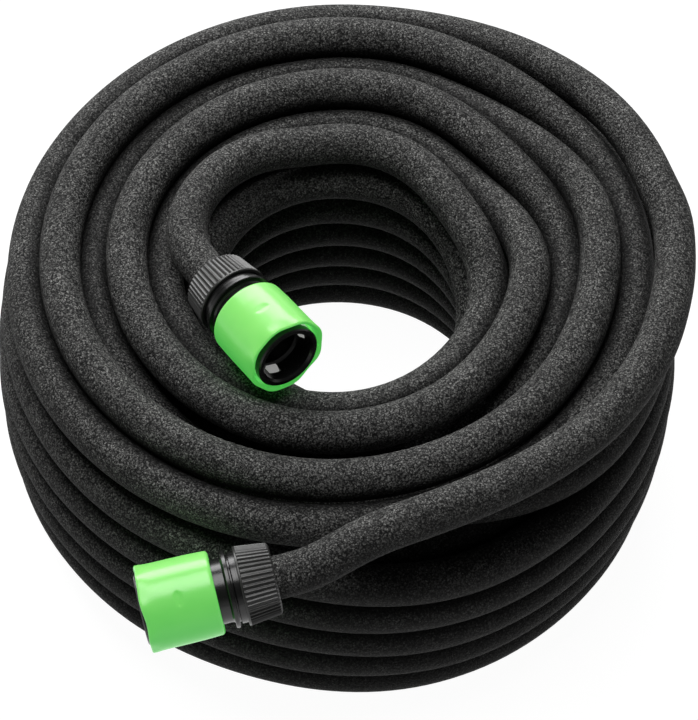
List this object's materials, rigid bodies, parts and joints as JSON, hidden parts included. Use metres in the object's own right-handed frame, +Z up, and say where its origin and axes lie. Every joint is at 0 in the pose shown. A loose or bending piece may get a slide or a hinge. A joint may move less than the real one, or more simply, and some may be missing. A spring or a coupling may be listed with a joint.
{
  "type": "soaker hose",
  "caption": "Coiled porous rubber hose for watering beds, standing as a round coil, with a quick-connect fitting with a sliding sleeve and a ribbed clamp nut on each end.",
  "frame": {"origin": "centre of the whole part's bounding box, at the floor that the coil stands on", "axes": "+Z up along the coil's axis; +X to the right and +Y to the back, with the outlet fitting lying at the front left"},
  "size_m": [0.2738, 0.307, 0.1588],
  "materials": {
    "porous_rubber": "matte porous rubber granulate, charcoal black with fine light flecks",
    "black_plastic": "moulded black plastic with a satin gloss",
    "nut_plastic": "moulded dark grey-black plastic with fine ribs, satin",
    "green_plastic": "moulded bright lime green plastic, smooth and glossy",
    "white_plastic": "moulded white plastic, plain",
    "spring_steel": "bright stainless spring wire"
  },
  "bodies": {
    "hose_and_fittings": {"hose_coil": "porous_rubber", "hose_core": "porous_rubber", "hose_tail": "porous_rubber", "inlet_body": "black_plastic", "inlet_hose_end": "porous_rubber", "inlet_claw_ring": "white_plastic", "inlet_spring": "spring_steel", "outlet_body": "black_plastic", "outlet_hose_end": "porous_rubber", "outlet_claw_ring": "white_plastic", "outlet_spring": "spring_steel"},
    "inlet_sleeve": {"inlet_sleeve": "green_plastic"},
    "inlet_collet": {"inlet_collet": "white_plastic"},
    "inlet_nut": {"inlet_nut": "nut_plastic"},
    "outlet_sleeve": {"outlet_sleeve": "green_plastic"},
    "outlet_collet": {"outlet_collet": "white_plastic"},
    "outlet_nut": {"outlet_nut": "nut_plastic"}
  },
  "joints": [
    {"name": "inlet_sleeve_draw", "type": "slide", "parent": "hose_and_fittings", "child": "inlet_sleeve", "axis": [-0.5687, 0.8121, -0.1305], "range_m": [0, 0.004], "stiffness_N_per_m": 800, "springref_m": -0.003, "deforming": ["inlet_spring"]},
    {"name": "inlet_nut_travel", "type": "slide", "parent": "hose_and_fittings", "child": "inlet_collet", "axis": [-0.5687, 0.8121, -0.1305], "range_m": [0, 0.0035]},
    {"name": "inlet_nut_turn", "type": "hinge", "parent": "inlet_collet", "child": "inlet_nut", "pos_m": [-0.04441, -0.01208, 0.13766], "axis": [-0.5687, 0.8121, -0.1305], "range_deg": [0, 504]},
    {"name": "outlet_sleeve_draw", "type": "slide", "parent": "hose_and_fittings", "child": "outlet_sleeve", "axis": [0.9718, 0.2154, 0.0958], "range_m": [0, 0.004], "stiffness_N_per_m": 800, "springref_m": -0.003, "deforming": ["outlet_spring"]},
    {"name": "outlet_nut_travel", "type": "slide", "parent": "hose_and_fittings", "child": "outlet_collet", "axis": [0.9718, 0.2154, 0.0958], "range_m": [0, 0.0035]},
    {"name": "outlet_nut_turn", "type": "hinge", "parent": "outlet_collet", "child": "outlet_nut", "pos_m": [-0.03024, -0.12908, 0.11901], "axis": [0.9718, 0.2154, 0.0958], "range_deg": [0, 504]}
  ],
  "couplings": [
    {"joint": "inlet_nut_travel", "follows": "inlet_nut_turn", "m_per_rad": 0.00039789},
    {"joint": "outlet_nut_travel", "follows": "outlet_nut_turn", "m_per_rad": 0.00039789}
  ]
}
